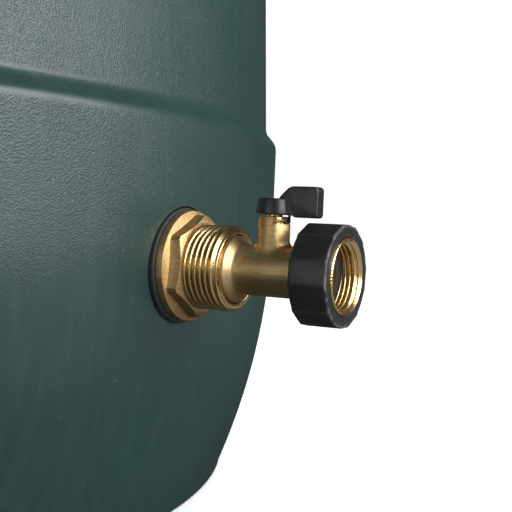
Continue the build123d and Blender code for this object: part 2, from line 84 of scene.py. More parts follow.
# %% Grid to mesh
def make_piece(name, grid, body, finish, node=None, sharp=35, around=True, closed=True,
               rubbed_and_sheen=None):
    """A mesh from a grid of points.

    Row i, column j of the grid joins to its right and lower neighbours. The columns wrap round when
    "around" is set, and the rows do when "closed" is set. Equal points are welded, and if the enclosed
    volume comes out negative all the faces are turned round. "rubbed_and_sheen" says, 0 to 1, how much
    each point is paled, partly for wear and partly as a painted highlight.
    """
    rows, columns = grid.shape[:2]
    index = np.arange(rows * columns).reshape(rows, columns)
    if around:
        index = np.hstack([index, index[:, :1]])
    if closed:
        index = np.vstack([index, index[:1]])
    quads = np.stack([index[:-1, :-1], index[:-1, 1:], index[1:, 1:], index[1:, :-1]], -1).reshape(-1, 4)
    points = grid.reshape(-1, 3)
    corner = points[quads]
    fan = np.cross(corner[:, 1] - corner[:, 0], corner[:, 2] - corner[:, 0])
    fan += np.cross(corner[:, 2] - corner[:, 0], corner[:, 3] - corner[:, 0])
    if (corner.mean(1) * fan).sum() < 0:
        quads = quads[:, ::-1]
    mesh = bpy.data.meshes.new(name)
    mesh.from_pydata(points, [], quads)
    # The paleness kept here is partly rubbing wear and partly a painted highlight on edges.
    if rubbed_and_sheen is not None:
        worn_and_sheen = np.broadcast_to(rubbed_and_sheen, (rows, columns)).astype(np.float32).ravel()
        mesh.attributes.new("rubbed_and_sheen", "FLOAT", "POINT").data.foreach_set("value", worn_and_sheen)
    work = bmesh.new()
    work.from_mesh(mesh)
    bmesh.ops.remove_doubles(work, verts=work.verts, dist=2e-6)
    bmesh.ops.dissolve_degenerate(work, edges=work.edges, dist=1e-7)
    work.to_mesh(mesh)
    work.free()
    mesh.polygons.foreach_set("use_smooth", np.ones(len(mesh.polygons), bool))
    mesh.set_sharp_from_angle(angle=radians(sharp))
    piece = bpy.data.objects.new(name, mesh)
    scene.collection.objects.link(piece)
    mesh.materials.append(finish)
    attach(piece, body)
    if node:
        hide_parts(node)
    print(name, len(mesh.polygons), "faces")
    return piece


# %% [markdown]
# A turned piece is an outline of (distance along the axis, radius) swept round that axis. Corners of real
# turned brass and moulded plastic are never knife-sharp, so the outline helper swaps each corner for a
# short arc.

# %% Rounded outlines
def rounded(corners, radii, steps=5, loop=True):
    """An outline with its corners rounded.

    At each corner, the arc is a quadratic curve from a point one radius back along the way in, through
    the corner, to a point one radius along the way out. No arc uses more than 0.45 of either side.
    """
    corners = np.array(corners, float)
    radii = np.broadcast_to(np.array(radii, float), len(corners))
    before = np.roll(corners, 1, 0) - corners
    after = np.roll(corners, -1, 0) - corners
    reach_in = np.linalg.norm(before, axis=1)
    reach_out = np.linalg.norm(after, axis=1)
    cut = np.minimum(radii, 0.45 * np.minimum(reach_in, reach_out))[:, None]
    start = corners + before / reach_in[:, None] * cut
    end = corners + after / reach_out[:, None] * cut
    t = np.linspace(0, 1, steps)[None, :, None]
    arc = (1 - t) ** 2 * start[:, None] + 2 * t * (1 - t) * corners[:, None] + t**2 * end[:, None]
    if not loop:
        arc[0], arc[-1] = corners[0], corners[-1]
    return arc.reshape(-1, 2)


def dense(outline, longest, loop=True, fine=None):
    """The same outline with its long sides divided, so that no step is longer than a given length.

    fine = (lowest radius, highest radius, step) gives the sides between those radii, where a thread is
    cut, a shorter step.
    """
    ring = np.vstack([outline, outline[:1]]) if loop else outline
    limit = np.full(len(ring) - 1, longest)
    if fine:
        middle = (ring[:-1, 1] + ring[1:, 1]) / 2
        limit[(middle > fine[0]) & (middle < fine[1])] = fine[2]
    steps = np.maximum(1, np.ceil(np.linalg.norm(np.diff(ring, axis=0), axis=1) / limit)).astype(int)
    pieces = [np.linspace(a, b, n, endpoint=False) for a, b, n in zip(ring[:-1], ring[1:], steps)]
    return np.vstack(pieces + ([] if loop else [ring[-1:]]))


def angles(count):
    """Evenly spaced angles for one turn."""
    return np.linspace(0, 2 * pi, count, endpoint=False)


def around_tap(reach, radius, a):
    """Points round the tap's line: x = r sin a, y = -reach, z = tap height + r cos a."""
    return np.stack([radius * np.sin(a), -reach + 0 * a, tap_height + radius * np.cos(a)], -1)


def turned_on_tap(outline, count=144):
    """Sweep an outline of (reach, radius) round the tap's line."""
    return around_tap(outline[:, :1], outline[:, 1:], angles(count)[None, :])


def turned_upright(outline, centre, count=144):
    """Sweep (height, radius) round an upright axis through (x, y): x + r cos a, y + r sin a, height."""
    a = angles(count)[None, :]
    height, radius = outline[:, :1], outline[:, 1:]
    return np.stack([centre[0] + radius * np.cos(a), centre[1] + radius * np.sin(a), height + 0 * a], -1)


# %% [markdown]
# ## Finishes
# Each finish is built from nodes: a base colour that varies a little, a roughness that varies a little, and
# a bump for the grain. A small kit keeps each one readable: one line adds a node, and one line wires it.

# %% Node kit
class Finish:
    """A material being built: add(kind, ...) makes a node, and wire(out, in) joins two sockets."""

    def __init__(self, name, **settings):
        self.material = bpy.data.materials.new(name)
        self.material.use_nodes = True
        self.tree = self.material.node_tree
        self.shader = self.tree.nodes["Principled BSDF"]
        self.place = self.add("TexCoord").outputs["Object"]
        for socket, value in settings.items():
            self.shader.inputs[socket.replace("_", " ")].default_value = value

    def add(self, kind, inputs=(), **settings):
        """A node of one kind, with its settings and its inputs filled or wired."""
        node = self.tree.nodes.new("ShaderNode" + kind)
        for key, value in settings.items():
            setattr(node, key, value)
        for key, value in dict(inputs).items():
            self.fill(node.inputs[key], value)
        return node

    def fill(self, socket, value):
        """Wire an output into a socket, or set the socket's value."""
        if isinstance(value, bpy.types.NodeSocket):
            self.tree.links.new(value, socket)
        else:
            socket.default_value = value

    def sum(self, a, b, operation="ADD"):
        """Arithmetic on two values."""
        return self.add("Math", {0: a, 1: b}, operation=operation).outputs[0]

    def noise(self, scale, detail=2.0, stretch=(1, 1, 1)):
        """Cloudy noise at a scale in cells per metre, stretched along chosen axes."""
        mapped = self.add("Mapping", {"Vector": self.place, "Scale": stretch}).outputs[0]
        return self.add("TexNoise", {"Vector": mapped, "Scale": scale, "Detail": detail}).outputs["Fac"]

    def ramp(self, value, low, high, to_low=0.0, to_high=1.0, smooth=False):
        """Stretch a value from low..high to to_low..to_high, and hold it there."""
        kind = "SMOOTHSTEP" if smooth else "LINEAR"
        node = self.add("MapRange", {"Value": value, "From Min": low, "From Max": high,
                                     "To Min": to_low, "To Max": to_high}, interpolation_type=kind)
        return node.outputs["Result"]

    def mix(self, amount, first, second):
        """Mix two colours."""
        node = self.add("Mix", data_type="RGBA")
        self.fill(node.inputs["Factor"], amount)
        self.fill(node.inputs[6], first)
        self.fill(node.inputs[7], second)
        return node.outputs[2]

    def bump(self, height, distance, strength=1.0, under=None):
        """Raise the surface by height times distance, on top of another bump."""
        node = self.add("Bump", {"Height": height, "Distance": distance, "Strength": strength})
        if under is not None:
            self.fill(node.inputs["Normal"], under)
        return node.outputs["Normal"]

    def finish(self, colour=None, roughness=None, normal=None):
        """Wire what varies into the shader and hand back the material."""
        for socket, value in (("Base Color", colour), ("Roughness", roughness), ("Normal", normal)):
            if value is not None:
                self.fill(self.shader.inputs[socket], value)
        return self.material


def tint(red, green, blue):
    """A colour with its alpha."""
    return (red, green, blue, 1.0)


# %% [markdown]
# ### Blow-moulded green plastic
# The barrel is polyethylene blown against a blasted steel mould. Its skin has a leathery grain, sharper
# high up where the plastic met the mould hot and fading to a smoother, faintly streaked skin lower down,
# with pale specks. A picture of the grain would show its seams on a round wall, so the grain is worked out
# at each point instead: rounded cells give the pebbles, a fine noise breaks them up, and height on the
# barrel fades both. The step came out of the mould smooth, so the grain stops there too.

# %% Barrel plastic
def barrel_plastic():
    """Dark green plastic with a fine grain that fades down the barrel, and a smooth step."""
    f = Finish("barrel_green", Roughness=0.36, IOR=1.5)
    height = f.add("SeparateXYZ", {0: f.place}).outputs["Z"]
    wander = f.ramp(f.noise(7.0, 2.0, (1, 1, 0.5)), 0.3, 0.7, -0.022, 0.022)
    fade = f.ramp(f.sum(height, wander), 0.045, 0.175, 0.12, 1.0, smooth=True)
    from_step = f.sum(f.sum(height, 0.1778, "SUBTRACT"), 0.0, "ABSOLUTE")
    off_step = f.ramp(from_step, 0.0042, 0.0062, 0.12, 1.0)
    patch = f.ramp(f.noise(16.0, 3.0), 0.35, 0.65, 0.75, 1.1)
    cells = f.add("TexVoronoi", {"Vector": f.place, "Scale": 1750.0, "Smoothness": 0.5},
                  feature="SMOOTH_F1").outputs["Distance"]
    pebble = f.ramp(cells, 0.1, 0.75)
    worms = f.ramp(f.noise(1650.0, 2.0, (1, 1, 0.8)), 0.35, 0.65)
    grain = f.sum(f.sum(pebble, 0.5, "MULTIPLY"), f.sum(worms, 0.6, "MULTIPLY"))
    depth = f.sum(f.sum(f.sum(fade, off_step, "MULTIPLY"), patch, "MULTIPLY"), grain, "MULTIPLY")
    sag = f.noise(14.0, 2.0, (1, 1, 0.6))
    normal = f.bump(sag, 0.0010, 0.25)
    normal = f.bump(depth, 0.00014, 1.0, normal)
    streaks = f.noise(230.0, 3.0, (1, 1, 0.05))
    normal = f.bump(streaks, 0.00004, 0.6, normal)
    tone = f.ramp(f.noise(6.0, 3.0), 0.3, 0.7)
    colour = f.mix(tone, tint(0.0075, 0.0235, 0.0220), tint(0.0115, 0.0320, 0.0300))
    colour = f.mix(f.ramp(streaks, 0.45, 0.75, 0.0, 0.30), colour, tint(0.019, 0.044, 0.041))
    specks = f.add("TexVoronoi", {"Vector": f.place, "Scale": 170.0}).outputs["Distance"]
    dust = f.ramp(specks, 0.03, 0.07, 0.7, 0.0)
    dusty = f.sum(dust, f.ramp(f.noise(60.0), 0.52, 0.62), "MULTIPLY")
    colour = f.mix(dusty, colour, tint(0.14, 0.19, 0.18))
    roughness = f.ramp(f.noise(30.0, 3.0), 0.3, 0.7, 0.33, 0.41)
    return f.finish(colour, roughness, normal)


barrel_green = barrel_plastic()
print("made", barrel_green.name)


# %% [markdown]
# ### Lid and basket plastic
# The lid is injection moulded in the same green with a fine even grain, and the basket and the tap's
# lever and grip are black. One function makes them all: only colour, grain size and shine differ.

# %% Moulded plastics
def moulded_plastic(name, dark, light, grain_scale, grain_depth, roughness, wear_and_sheen=0.0):
    """Moulded plastic: fine grain, faint flow marks, and paler grey marked points: wear and painted
    highlight.
    """
    f = Finish(name, IOR=1.47)
    grain = f.noise(grain_scale, 2.0)
    normal = f.bump(f.noise(60.0, 2.0), 0.0002, 0.2)
    normal = f.bump(grain, grain_depth, 1.0, normal)
    flow = f.ramp(f.noise(25.0, 4.0), 0.3, 0.7)
    colour = f.mix(flow, dark, light)
    # Where points are marked, the colour goes paler grey: partly rubbing wear, partly a painted highlight on
    # edges.
    if wear_and_sheen:
        edge = f.add("Attribute", attribute_name="rubbed_and_sheen").outputs["Fac"]
        rubbed_and_sheen = f.sum(edge, f.ramp(f.noise(400.0, 3.0), 0.35, 0.6), "MULTIPLY")
        colour = f.mix(f.sum(rubbed_and_sheen, wear_and_sheen, "MULTIPLY"), colour, tint(0.11, 0.11, 0.12))
    scuffs = f.ramp(f.noise(180.0, 4.0, (1, 0.25, 1)), 0.35, 0.7, roughness - 0.06, roughness + 0.1)
    return f.finish(colour, scuffs, normal)


lid_green = moulded_plastic("lid_green", tint(0.015, 0.034, 0.030), tint(0.020, 0.044, 0.039), 1500.0,
                            0.00006, 0.45)
basket_black = moulded_plastic("basket_black", tint(0.010, 0.010, 0.011), tint(0.016, 0.016, 0.017),
                               1200.0, 0.00005, 0.5)
lever_black = moulded_plastic("lever_black", tint(0.007, 0.007, 0.007), tint(0.010, 0.010, 0.010), 2200.0,
                              0.00003, 0.36, wear_and_sheen=0.5)
grip_black = moulded_plastic("grip_black", tint(0.006, 0.006, 0.006), tint(0.009, 0.009, 0.009), 2600.0,
                             0.000035, 0.38, wear_and_sheen=0.7)
rubber_black = moulded_plastic("rubber_black", tint(0.007, 0.007, 0.007), tint(0.011, 0.011, 0.011),
                               1800.0, 0.00004, 0.62)
seal_black = moulded_plastic("seal_black", tint(0.008, 0.008, 0.008), tint(0.012, 0.012, 0.012), 1800.0,
                             0.00003, 0.5)
ptfe_white = moulded_plastic("ptfe_white", tint(0.72, 0.72, 0.70), tint(0.80, 0.80, 0.79), 1200.0,
                             0.00002, 0.5)
moulded = (lid_green, basket_black, lever_black, grip_black, rubber_black, seal_black, ptfe_white)
print("made", [material.name for material in moulded])

# %% [markdown]
# ### Brass
# The tap shows three brasses. Forged and blasted faces are dull, speckled by the fine pits of the blast;
# turned faces are brighter, with the fine rings that the cutting tool leaves; and the collar is turned
# and then blasted, so it is between the two. All darken a little in patches where air has dulled the
# metal. Metal takes its colour from reflection, so the roughness does most of the work.


# %% Brasses
def brass(name, bright, dull, low_rough, high_rough, pits, rings):
    """Brass with blasted pits, tool rings along the tap, and duller patches."""
    f = Finish(name, Metallic=1.0)
    patches = f.ramp(f.noise(70.0, 4.0), 0.35, 0.7)
    colour = f.mix(patches, bright, dull)
    fine = f.noise(1900.0, 3.0)
    normal = f.bump(fine, pits, 1.0)
    if rings:
        cut = f.noise(2500.0, 1.0, (0.02, 1, 0.02))
        normal = f.bump(cut, rings, 1.0, normal)
    else:
        lumps = f.noise(420.0, 2.0)
        normal = f.bump(lumps, 0.00005, 0.6, normal)
        drawn = f.noise(900.0, 3.0, (1, 0.10, 1))
        normal = f.bump(drawn, 0.00004, 0.8, normal)
        colour = f.mix(f.ramp(drawn, 0.42, 0.62, 0.0, 0.55), colour, tint(0.40, 0.26, 0.11))
        colour = f.mix(f.ramp(fine, 0.5, 0.8, 0.0, 0.4), colour, tint(0.82, 0.64, 0.38))
    roughness = f.ramp(f.noise(300.0, 3.0), 0.3, 0.7, low_rough, high_rough)
    return f.finish(colour, roughness, normal)


cast_brass = brass("cast_brass", tint(0.68, 0.47, 0.22), tint(0.50, 0.33, 0.145), 0.40, 0.50, 0.00012, 0)
turned_brass = brass("turned_brass", tint(0.76, 0.56, 0.27), tint(0.64, 0.45, 0.20), 0.20, 0.30, 0.000004,
                     0.000003)
satin_brass = brass("satin_brass", tint(0.66, 0.49, 0.26), tint(0.54, 0.39, 0.19), 0.40, 0.50, 0.00005,
                    0.000003)


def plain_metal(name, colour, dull, rough):
    """Bright metal with a little cloudiness and fine scratches."""
    f = Finish(name, Metallic=1.0)
    tone = f.mix(f.noise(120.0, 3.0), colour, dull)
    normal = f.bump(f.noise(1500.0, 2.0, (1, 0.1, 1)), 0.00001)
    return f.finish(tone, f.ramp(f.noise(400.0, 3.0), 0.3, 0.7, rough, rough + 0.12), normal)


bright_steel = plain_metal("bright_steel", tint(0.55, 0.55, 0.56), tint(0.42, 0.42, 0.43), 0.25)
chrome_ball = plain_metal("chrome_ball", tint(0.78, 0.78, 0.80), tint(0.66, 0.66, 0.68), 0.08)
print("made", cast_brass.name, turned_brass.name, satin_brass.name, bright_steel.name, chrome_ball.name)

# %% [markdown]
# ## The barrel
# The barrel is one blown skin: a curved foot, an upright band that carries the tap, a step, a wall that
# narrows upwards, and a rolled rim. It could be a plain turned outline, but the wall also has a round flat
# pad pressed into it for the tap's washer. So the grid is a turned one whose rows and columns crowd
# together near the tap, and there the square rings of the grid are pulled into round ones. One of those
# round rings is then exactly the pad's edge.

# %% Barrel sizes
barrel_high = span("barrel_body")[1]
band_radius = barrel_high[0]
rim_height = barrel_high[2]
wall = 4.5 * MM
belly_height, belly_arc = 129 * MM, 335 * MM
step_height, step_top, step_inset = 175 * MM, 181.4 * MM, 5.7 * MM
neck_height = rim_height - 30 * MM
neck_radius = band_radius - step_inset - (neck_height - step_top) * tan(radians(2.6))
rim_radius = neck_radius + 9.5 * MM
mouth_radius = rim_radius - 17 * MM
push_up = 3 * MM
print("band radius", round(band_radius, 4), "neck", round(neck_radius, 4), "mouth", round(mouth_radius, 4))


def wall_radius(height, inset=0.0):
    """Radius of foot and band at a height: below the belly, the arc's centre plus its half-chord."""
    arc = belly_arc - inset
    drop = np.clip(belly_height - height, 0, None)
    return band_radius - belly_arc + np.sqrt(arc**2 - drop**2)


def upper_wall(inset, longest):
    """(height, radius) from the band up over the step, the wall and the rolled rim, moved in by an inset."""
    lift = inset * 0.3
    corners = [
        (step_height - 9 * MM, band_radius - inset), (step_height + lift, band_radius - inset),
        (step_top + lift, band_radius - step_inset - inset), (neck_height + lift, neck_radius - inset),
        (neck_height + 9.5 * MM + lift, rim_radius - inset), (rim_height - inset, rim_radius - inset),
        (rim_height - inset, mouth_radius),
    ]
    bends = [0, 2.4 * MM, 3.2 * MM, 9 * MM, 5 * MM, 6 * MM, 0]
    return dense(rounded(corners, bends, 9, loop=False), longest, loop=False)


# %% Barrel grid
pad_radius = 23.55 * MM
washer_low, washer_high = span("outer_washer")
pad_seat = -washer_high[1]
near_tap = 50 * MM  # rings are round, or nearly so, within this distance of the tap
near = np.concatenate([np.linspace(0, pad_radius - 0.15 * MM, 13), [pad_radius],
                       np.linspace(pad_radius + 1.8 * MM, near_tap, 14)])
far = np.linspace(55 * MM, pi * band_radius, 130)
columns = np.concatenate([-np.concatenate([near, far])[:0:-1], near, far[:-1]])
rows = np.concatenate([np.linspace(5 * MM, tap_height - 53 * MM, 14), tap_height - near[:0:-1],
                       tap_height + near])
rows = rows[rows < step_height - 10 * MM]

along, up_wall = np.meshgrid(columns, rows)
up_wall = up_wall - tap_height
ring = np.maximum(np.abs(along), np.abs(up_wall))
true = np.hypot(along, up_wall) + 1e-9
pull = np.clip((near_tap - ring) / (22 * MM), 0, 1)
shrink = 1 + pull * pull * (3 - 2 * pull) * (ring / true - 1)
side_height = tap_height + up_wall * shrink
side_angle = along * shrink / band_radius
side_radius = wall_radius(side_height)
side = np.stack([side_radius * np.sin(side_angle), -side_radius * np.cos(side_angle), side_height], -1)
side[..., 1] = np.where(ring < pad_radius - 0.05 * MM, np.maximum(side[..., 1], -pad_seat), side[..., 1])

foot_edge = wall_radius(0.0)
edge_round, wall_lean = 4 * MM, radians(21)
edge_arc = np.linspace(-pi / 2, -wall_lean, 8)
edge_middle = (edge_round, wall_radius(edge_round) - edge_round * cos(wall_lean))
edge = np.stack([edge_middle[0] + edge_round * np.sin(edge_arc),
                 edge_middle[1] + edge_round * np.cos(edge_arc)], 1)
base = np.array([(0, 0), (0, 90 * MM), (push_up, 96 * MM), (push_up, foot_edge - 32 * MM),
                 (0, foot_edge - 26 * MM), (0, foot_edge - 8 * MM)])
inner_foot = np.linspace(step_height - 12 * MM, 8 * MM, 14)
inner_side = np.stack([inner_foot, wall_radius(inner_foot, wall)], 1)
inside = np.vstack([upper_wall(wall, 45 * MM)[::-1], inner_side,
                    [(7.5 * MM, foot_edge - 12 * MM), (7.5 * MM, 0)]])


def turned_barrel(outline):
    """Sweep (height, radius) round the barrel, at the same columns as its side."""
    angle = columns[None, :] / band_radius
    height, radius = outline[:, :1], outline[:, 1:]
    return np.stack([radius * np.sin(angle), -radius * np.cos(angle), height + 0 * angle], -1)


below = turned_barrel(np.vstack([dense(base, 60 * MM, loop=False), edge]))
above = turned_barrel(np.vstack([upper_wall(0, 20 * MM), inside]))
barrel_grid = np.concatenate([below, side, above])
make_piece("barrel_skin", barrel_grid, "barrel", barrel_green, "barrel_body",
           sharp=50, closed=False)

# %% [markdown]
# Inside, the wall is thickened round the hole, and the inner washer bears on that. It is a low turned
# boss whose edge slopes into the wall.

# %% Inner pad
inner_low, inner_high = span("inner_washer")
inner_seat = -inner_low[1]
fitting_radius = 16.65 * MM
inner_pad_outline = rounded([(inner_seat, fitting_radius), (inner_seat, pad_radius + 3 * MM),
                             (pad_seat - 1 * MM, pad_radius + 4 * MM), (pad_seat - 1 * MM, fitting_radius)],
                            [0, 0.8 * MM, 0, 0], 5)
make_piece("inner_pad", turned_on_tap(inner_pad_outline), "barrel", barrel_green,
           sharp=50)

# %% [markdown]
# ## The lid
# The lid is a stack of rings: some centred on the barrel, and the ones at the inlet centred on the hole
# for the leaf basket. Joining a ring round the hole to a ring round the crown fills the flat between
# them, so the whole lid, top and underside, is still one grid.

# %% Lid rings
lid_low, lid_high = span("lid")
basket_low, basket_high = span("leaf_basket")
inlet_centre = (basket_low[1] + basket_high[1]) / 2
inlet_radius = (basket_high[0] - basket_low[0]) / 2 - 12 * MM
lid_thick = 3.5 * MM
crown_top = lid_high[2]
crown_under = crown_top - lid_thick
crown_edge = mouth_radius - 38 * MM
crown_rise = 14 * MM
skirt_out = lid_high[0]
skirt_in = skirt_out - lid_thick
top_flat = crown_top - crown_rise
bead = 1.2 * MM
lid_section = np.array([
    # height, radius, how much of the inlet's offset the ring keeps
    (crown_under, inlet_radius, 1), (crown_top - 0.8 * MM, inlet_radius, 1),
    (crown_top, inlet_radius + 0.8 * MM, 1), (crown_top, inlet_radius + 14 * MM, 0.93),
    (crown_top, crown_edge - 60 * MM, 0.25), (crown_top, crown_edge - 34 * MM, 0),
    (crown_top - bead, crown_edge - 31 * MM, 0), (crown_top - bead, crown_edge - 24 * MM, 0),
    (crown_top, crown_edge - 21 * MM, 0), (crown_top, crown_edge - 1 * MM, 0),
    (crown_top - 1 * MM, crown_edge + 2.4 * MM, 0), (top_flat + 1 * MM, crown_edge + crown_rise - 1 * MM, 0),
    (top_flat, crown_edge + crown_rise + 2 * MM, 0), (top_flat, skirt_out - 16 * MM, 0),
    (top_flat, skirt_out - 3.5 * MM, 0), (top_flat - 1 * MM, skirt_out - 1 * MM, 0),
    (top_flat - 3.5 * MM, skirt_out, 0), (lid_low[2] + 3 * MM, skirt_out, 0),
    (lid_low[2] + 0.6 * MM, skirt_out - 0.3 * MM, 0), (lid_low[2], skirt_out - 1.2 * MM, 0),
    (lid_low[2], skirt_in + 1 * MM, 0), (lid_low[2] + 0.8 * MM, skirt_in, 0),
    (top_flat - lid_thick, skirt_in, 0), (top_flat - lid_thick, crown_edge + crown_rise, 0),
    (crown_under, crown_edge, 0), (crown_under, crown_edge - 60 * MM, 0.25),
])
a = angles(240)[None, :]
ring_height, ring_radius, ring_offset = (lid_section[:, k : k + 1] for k in range(3))
lid_grid = np.stack([ring_radius * np.cos(a), ring_offset * inlet_centre + ring_radius * np.sin(a),
                     ring_height + 0 * a], -1)
make_piece("lid_skin", lid_grid, "lid", lid_green, "lid", sharp=40)

# %% [markdown]
# ## Threads
# A thread is a V-groove wound round a cylinder. Written as a surface, the radius at each point depends
# only on how far round and how far along it is: the two add up to a phase, and one turn moves the
# phase by one pitch. Pipe threads are rounded at crest and root, so the V is softened.


# %% Thread helper
def thread_wave(reach, turn_angle, pitch):
    """0 at the root and 1 at the crest: a triangle wave of (reach / pitch - angle / turn), softened."""
    phase = (reach / pitch - turn_angle / (2 * pi)) % 1.0
    ridge = 1 - np.abs(2 * phase - 1)
    return 0.55 * np.clip(1.2 * ridge - 0.1, 0, 1) + 0.45 * (0.5 - 0.5 * np.cos(pi * ridge))


coarse_pitch, coarse_depth = 2.309 * MM, 1.479 * MM
coarse_crest = 321.8 * MM  # reach of one crest, at the top of the fitting
coarse_start = coarse_crest % coarse_pitch + coarse_pitch / 2
print("coarse thread pitch", round(coarse_pitch, 6), "depth", round(coarse_depth, 6))


def run_in(reach, start, end, length):
    """0 outside a threaded stretch, 1 well inside it, with a smooth ramp at each end."""
    t = np.clip(np.minimum(reach - start, end - reach) / length, 0, 1)
    return t * t * (3 - 2 * t)


# %% [markdown]
# ## The fitting through the wall
# A brass bulkhead fitting passes through the wall and is clamped by its nut. What shows is its coarse
# pipe thread, a lead-in chamfer and the mouth that the valve is screwed into. It is turned from an
# outline; then the radius of the threaded stretch is lowered by the thread's depth times the wave.

# %% Bulkhead fitting
fitting_front, fitting_back = -fitting_low[1], -fitting_high[1]
nut_low, nut_high = span("back_nut")
nut_front, nut_back = -nut_low[1], -nut_high[1]
inner_flange = (fitting_high[0] - fitting_low[0]) / 2
mouth_bore, tail_bore, water_bore = 13.5 * MM, 13.25 * MM, 9.0 * MM
fitting_outline = [
    (fitting_back, water_bore), (fitting_back, inner_flange), (-inner_high[1], inner_flange),
    (-inner_high[1], fitting_radius), (fitting_front - 1.4 * MM, fitting_radius),
    (fitting_front, fitting_radius - 1.35 * MM), (fitting_front, mouth_bore + 0.3 * MM),
    (fitting_front - 0.4 * MM, mouth_bore), (fitting_front - 5 * MM, mouth_bore),
    (fitting_front - 5 * MM, tail_bore), (pad_seat, tail_bore), (pad_seat, water_bore),
]
bends = np.array([0.5, 0.5, 0.5, 0, 0.35, 0.25, 0.2, 0.2, 0, 0, 0, 0]) * MM
fitting_outline = rounded(fitting_outline, bends, 4)
threaded = (fitting_radius - 1.3 * MM, fitting_radius + 1 * MM, 0.16 * MM)
fitting_outline = dense(fitting_outline, 4 * MM, fine=threaded)
a = angles(200)[None, :]
reach, radius = fitting_outline[:, :1], fitting_outline[:, 1:]
root = fitting_radius - coarse_depth
cut = coarse_depth * (1 - thread_wave(reach - coarse_start, a, coarse_pitch))
cut = cut * run_in(reach, nut_front - 5 * MM, fitting_front + 1.2 * MM, 1.5 * MM)
shows = (radius > fitting_radius - 1.25 * MM) & (radius < fitting_radius + 0.1 * MM)
cut = np.where(shows, np.minimum(cut, radius - root), 0)
fitting_grid = turned_on_tap(fitting_outline, 200)
fitting_grid[..., 0] -= cut * np.sin(a)
fitting_grid[..., 2] -= cut * np.cos(a)
make_piece("through_fitting", fitting_grid, "barrel", turned_brass, "bulkhead_body",
           sharp=60)

# %% [markdown]
# ## The lock nut
# The nut has a round flange with a sloping face, and a low hexagon whose corners were turned off by a
# chamfer. A hexagon's radius in any direction follows from its six flat sides; adding the sides with a
# high power instead of taking the nearest one rounds its corners slightly, as forging does.


# %% Lock nut
def polygon_radius(a, sides, apothem, sharpness, first=0.0):
    """Radius of a rounded polygon: apothem times (sum over its sides of max(cos(a - side), 0)^n)^(-1/n)."""
    facing = first + 2 * pi * np.arange(sides) / sides
    toward = np.maximum(np.cos(a[..., None] - facing), 0)
    return apothem * (toward**sharpness).sum(-1) ** (-1 / sharpness)


flange_radius = (nut_high[0] - nut_low[0]) / 2
flange_front = nut_back + 3.1 * MM
hex_base = flange_front + 0.65 * MM
half_flats, half_corners = 18.0 * MM, 20.3 * MM
hex_turn, chamfer_angle = radians(-26), radians(29)
a = angles(360)
hexagon = np.minimum(polygon_radius(a, 6, half_flats, 260.0, hex_turn), half_corners)
chamfer = np.maximum(hexagon - half_flats, 0) * tan(chamfer_angle)
bore = fitting_radius - coarse_depth * 0.6
edge = 0.15 * MM
rings = [
    (nut_back, bore), (nut_back, flange_radius - 2 * edge), (nut_back + 2 * edge, flange_radius),
    (flange_front - edge, flange_radius), (flange_front - 0.3 * edge, flange_radius - 0.3 * edge),
    (flange_front, flange_radius - edge),
]
nut_rings = [np.stack([np.full_like(a, reach), np.full_like(a, radius)], -1) for reach, radius in rings]
slope = (hex_base - flange_front) / (flange_radius - edge - half_flats)
at_foot = flange_front + slope * (flange_radius - edge - hexagon)
nut_rings += [
    np.stack([at_foot - 0.25 * MM * slope, hexagon + 0.25 * MM], -1),
    np.stack([at_foot + 0.08 * MM, hexagon + 0.06 * MM], -1),
    np.stack([at_foot + 0.28 * MM, hexagon], -1),
    np.stack([nut_front - chamfer - edge, hexagon], -1),
    np.stack([nut_front - chamfer - 0.02 * MM, hexagon - 0.5 * edge], -1),
    np.stack([nut_front - 0.4 * edge + 0 * a, np.minimum(hexagon - edge, half_flats - 0.5 * edge)], -1),
    np.stack([nut_front + 0 * a, np.minimum(hexagon - 2 * edge, half_flats - 2 * edge)], -1),
    np.stack([nut_front + 0 * a, bore + 0.9 * MM + 0 * a], -1),
    np.stack([nut_front - 0.8 * MM + 0 * a, bore + 0 * a], -1),
]
section = np.stack(nut_rings)
nut_grid = around_tap(section[..., 0], section[..., 1], a)
make_piece("lock_nut", nut_grid, "barrel", cast_brass, "back_nut", sharp=28)

# %% [markdown]
# ## The rubber washer
# A flat ring of rubber, squeezed between nut and wall so its rim bulges a little and is rounded.

# %% Rubber washer
washer_radius = (washer_high[0] - washer_low[0]) / 2
washer_back, washer_front = pad_seat, -washer_low[1]
washer_outline = rounded([(washer_back, fitting_radius), (washer_back, washer_radius),
                          (washer_front, washer_radius), (washer_front, fitting_radius)],
                         [0, 1.1 * MM, 1.1 * MM, 0], 7)
make_piece("rubber_washer", turned_on_tap(washer_outline), "barrel", rubber_black,
           "outer_washer", sharp=60)

# %% [markdown]
# ## The valve
# The valve is one brass forging: a threaded tail inside the fitting, a domed collar, a tube that holds
# the ball, and an upright boss for the stem. The tube is turned from an outline. The boss is a second
# shell whose foot lies on the tube: each point of its foot sits at the tube's own height there, and a
# soft curve carries it from the tube's slope to upright, which gives the fillet a forging has.

# %% Valve collar and tube
valve_low, valve_high = span("valve_body")
tube_radius, collar_radius, cavity = 9.75 * MM, 12.45 * MM, 7.0 * MM
plug_radius, waterway = 13.2 * MM, 4.5 * MM
valve_back, valve_front = -valve_high[1], -valve_low[1]
snap_low, snap_high = span("snap_ring")
collar_outline = [
    (valve_back, waterway), (valve_back, plug_radius), (fitting_front - 4.8 * MM, plug_radius),
    (fitting_front - 4.8 * MM, collar_radius), (fitting_front - 2.4 * MM, collar_radius),
    (fitting_front - 2.0 * MM, plug_radius), (fitting_front + 0.2 * MM, plug_radius),
    (fitting_front + 1.6 * MM, 11.5 * MM), (fitting_front + 2.9 * MM, tube_radius + 0.35 * MM),
    (fitting_front + 4.6 * MM, tube_radius - 0.1 * MM), (fitting_front + 4.6 * MM, waterway),
]
collar_bends = np.array([0, 0.4, 0, 0.3, 0.1, 0.1, 0.8, 0.9, 0.9, 0, 0]) * MM
collar_outline = dense(rounded(collar_outline, collar_bends, 8), 3 * MM)
make_piece("valve_collar", turned_on_tap(collar_outline, 160), "barrel", satin_brass,
           sharp=40)
snap_groove = 0.65 * MM
